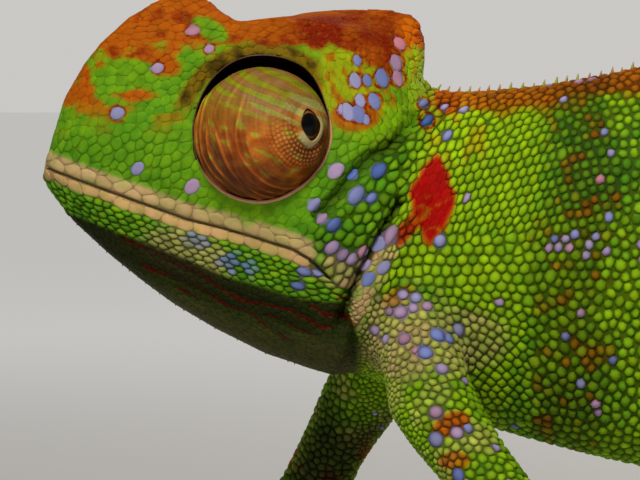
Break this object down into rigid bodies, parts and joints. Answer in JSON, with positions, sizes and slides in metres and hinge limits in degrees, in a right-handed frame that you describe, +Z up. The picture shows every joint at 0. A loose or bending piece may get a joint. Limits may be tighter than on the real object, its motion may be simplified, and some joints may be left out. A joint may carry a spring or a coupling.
{
  "type": "panther chameleon",
  "caption": "Life-size panther chameleon standing still on all fours with its snout raised, eye turrets turned apart and the tail held in an upright coil.",
  "frame": {"origin": "on the floor, below the middle of the whole animal's box", "axes": "+X from the snout to the tail, +Y to the animal's right side, +Z up"},
  "size_m": [0.1832, 0.0702, 0.0804],
  "materials": {
    "skin": "small domed scales with a satin sheen, green with rust, lilac and red markings",
    "eyelid": "fine beaded scales in rings, orange-brown",
    "eyeball": "wet and glossy, dark pupil with a brown iris",
    "claw": "smooth horn"
  },
  "bodies": {
    "root": {"casque": "skin", "claw_foot_left_inner_1": "claw", "claw_foot_left_inner_2": "claw", "claw_foot_left_outer_1": "claw", "claw_foot_left_outer_2": "claw", "claw_foot_left_outer_3": "claw", "claw_foot_right_inner_1": "claw", "claw_foot_right_inner_2": "claw", "claw_foot_right_outer_1": "claw", "claw_foot_right_outer_2": "claw", "claw_foot_right_outer_3": "claw", "claw_hand_left_inner_1": "claw", "claw_hand_left_inner_2": "claw", "claw_hand_left_inner_3": "claw", "claw_hand_left_outer_1": "claw", "claw_hand_left_outer_2": "claw", "claw_hand_right_inner_1": "claw", "claw_hand_right_inner_2": "claw", "claw_hand_right_inner_3": "claw", "claw_hand_right_outer_1": "claw", "claw_hand_right_outer_2": "claw", "eye_turret_left": "eyelid", "eye_turret_right": "eyelid", "eyeball_left": "eyeball", "eyeball_right": "eyeball", "foot_left_inner": "skin", "foot_left_outer": "skin", "foot_right_inner": "skin", "foot_right_outer": "skin", "forearm_left": "skin", "forearm_right": "skin", "hand_left_inner": "skin", "hand_left_outer": "skin", "hand_right_inner": "skin", "hand_right_outer": "skin", "head": "skin", "lower_jaw": "skin", "neck": "skin", "shank_left": "skin", "shank_right": "skin", "tail_base": "skin", "tail_coil_1": "skin", "tail_coil_2": "skin", "tail_coil_3": "skin", "tail_coil_4": "skin", "tail_coil_5": "skin", "tail_coil_6": "skin", "thigh_left": "skin", "thigh_right": "skin", "trunk": "skin", "upper_arm_left": "skin", "upper_arm_right": "skin"}
  },
  "joints": []
}
